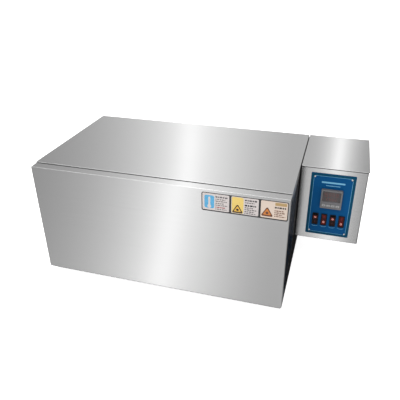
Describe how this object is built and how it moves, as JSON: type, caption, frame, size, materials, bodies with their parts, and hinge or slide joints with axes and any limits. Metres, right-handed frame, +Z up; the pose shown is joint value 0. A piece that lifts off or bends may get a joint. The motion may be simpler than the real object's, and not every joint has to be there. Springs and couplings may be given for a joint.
{
  "type": "water bath",
  "caption": "Bench thermostatic water bath: stainless tank with a flat rear-hinged lid, and a side control box with a blue panel.",
  "frame": {"origin": "middle of the whole object's box in plan, on the plane of the feet's undersides", "axes": "+X along the tank's length towards the control box, +Y from the front to the hinges, +Z up"},
  "size_m": [0.809, 0.3924, 0.298],
  "materials": {
    "steel_body": "bright stainless sheet, fine vertical grain",
    "steel_tank": "stainless sheet, satin",
    "steel_fitting": "plain stainless strip, satin",
    "chrome_fitting": "polished",
    "valve_brass": "turned brass, light satin",
    "lever_red": "dipped vinyl sleeve",
    "panel_blue": "printed blue overlay plate",
    "controller_grey": "moulded, fine texture",
    "display_window": "smoked, glossy",
    "key_cap": "moulded keys",
    "switch_black": "moulded, half gloss",
    "rocker_red": "tinted clear red",
    "rubber_black": "moulded rubber",
    "gland_black": "moulded nylon",
    "silicone_seal": "translucent white silicone",
    "insulation_wool": "mineral wool felt",
    "label_film": "printed film",
    "relay_black": "moulded case with fins",
    "terminal_cream": "moulded"
  },
  "bodies": {
    "body": {"outer_shell": "steel_body", "control_box_shell": "steel_body", "control_box_cover": "steel_body", "control_box_back_plate": "steel_body", "base_plate": "steel_tank", "inner_tank": "steel_tank", "heater_flange_1": "steel_fitting", "heater_flange_2": "steel_fitting", "hinge_1_fixed_leaf": "steel_fitting", "hinge_2_fixed_leaf": "steel_fitting", "hinge_1_pin": "chrome_fitting", "hinge_2_pin": "chrome_fitting", "heating_element_1": "chrome_fitting", "heating_element_2": "chrome_fitting", "temperature_probe": "chrome_fitting", "panel_screw_1": "chrome_fitting", "panel_screw_2": "chrome_fitting", "panel_screw_3": "chrome_fitting", "panel_screw_4": "chrome_fitting", "drain_valve_body": "valve_brass", "control_panel": "panel_blue", "controller_housing": "controller_grey", "controller_window": "display_window", "switch_bezel_1": "switch_black", "switch_bezel_2": "switch_black", "switch_bezel_3": "switch_black", "switch_bezel_4": "switch_black", "rubber_foot_1": "rubber_black", "rubber_foot_2": "rubber_black", "rubber_foot_3": "rubber_black", "rubber_foot_4": "rubber_black", "box_gasket": "rubber_black", "wire_bushing": "rubber_black", "cable_gland": "gland_black", "insulation_jacket": "insulation_wool", "insulation_base": "insulation_wool", "label_card_1": "label_film", "label_card_2": "label_film", "label_card_3": "label_film", "solid_state_relay": "relay_black", "terminal_block": "terminal_cream"},
    "lid": {"lid_skin": "steel_body", "lid_inner_panel": "steel_tank", "lid_insulation": "insulation_wool", "lid_gasket": "silicone_seal", "hinge_1_moving_leaf": "steel_fitting", "hinge_2_moving_leaf": "steel_fitting"},
    "drain_lever": {"drain_valve_lever": "lever_red", "drain_valve_ball": "chrome_fitting"},
    "shelf": {"perforated_shelf": "steel_tank"},
    "rocker_1": {"switch_rocker_1": "rocker_red"},
    "key_1": {"controller_key_1": "key_cap"},
    "rocker_2": {"switch_rocker_2": "rocker_red"},
    "key_2": {"controller_key_2": "key_cap"},
    "rocker_3": {"switch_rocker_3": "rocker_red"},
    "key_3": {"controller_key_3": "key_cap"},
    "rocker_4": {"switch_rocker_4": "rocker_red"},
    "key_4": {"controller_key_4": "key_cap"}
  },
  "joints": [
    {"name": "lid_hinge", "type": "hinge", "parent": "body", "child": "lid", "pos_m": [-0.0465, 0.17968, 0.28], "axis": [-1, 0, 0], "range_deg": [0, 100]},
    {"name": "shelf_lift", "type": "slide", "parent": "body", "child": "shelf", "axis": [0, 0, 1], "range_m": [0, 0.15]},
    {"name": "drain_lever_turn", "type": "hinge", "parent": "body", "child": "drain_lever", "pos_m": [-0.37, -0.01082, 0.113], "axis": [0, 0, -1], "range_deg": [0, 90]},
    {"name": "rocker_1_tip", "type": "hinge", "parent": "body", "child": "rocker_1", "pos_m": [0.2989, -0.02382, 0.1645], "axis": [1, 0, 0], "range_deg": [-18, 0]},
    {"name": "rocker_2_tip", "type": "hinge", "parent": "body", "child": "rocker_2", "pos_m": [0.319, -0.02382, 0.1645], "axis": [1, 0, 0], "range_deg": [0, 18]},
    {"name": "rocker_3_tip", "type": "hinge", "parent": "body", "child": "rocker_3", "pos_m": [0.3391, -0.02382, 0.1645], "axis": [1, 0, 0], "range_deg": [-18, 0]},
    {"name": "rocker_4_tip", "type": "hinge", "parent": "body", "child": "rocker_4", "pos_m": [0.3592, -0.02382, 0.1645], "axis": [1, 0, 0], "range_deg": [0, 18]},
    {"name": "key_1_press", "type": "slide", "parent": "body", "child": "key_1", "axis": [0, 1, 0], "range_m": [0, 0.0007], "stiffness_N_per_m": 400},
    {"name": "key_2_press", "type": "slide", "parent": "body", "child": "key_2", "axis": [0, 1, 0], "range_m": [0, 0.0007], "stiffness_N_per_m": 400},
    {"name": "key_3_press", "type": "slide", "parent": "body", "child": "key_3", "axis": [0, 1, 0], "range_m": [0, 0.0007], "stiffness_N_per_m": 400},
    {"name": "key_4_press", "type": "slide", "parent": "body", "child": "key_4", "axis": [0, 1, 0], "range_m": [0, 0.0007], "stiffness_N_per_m": 400}
  ]
}
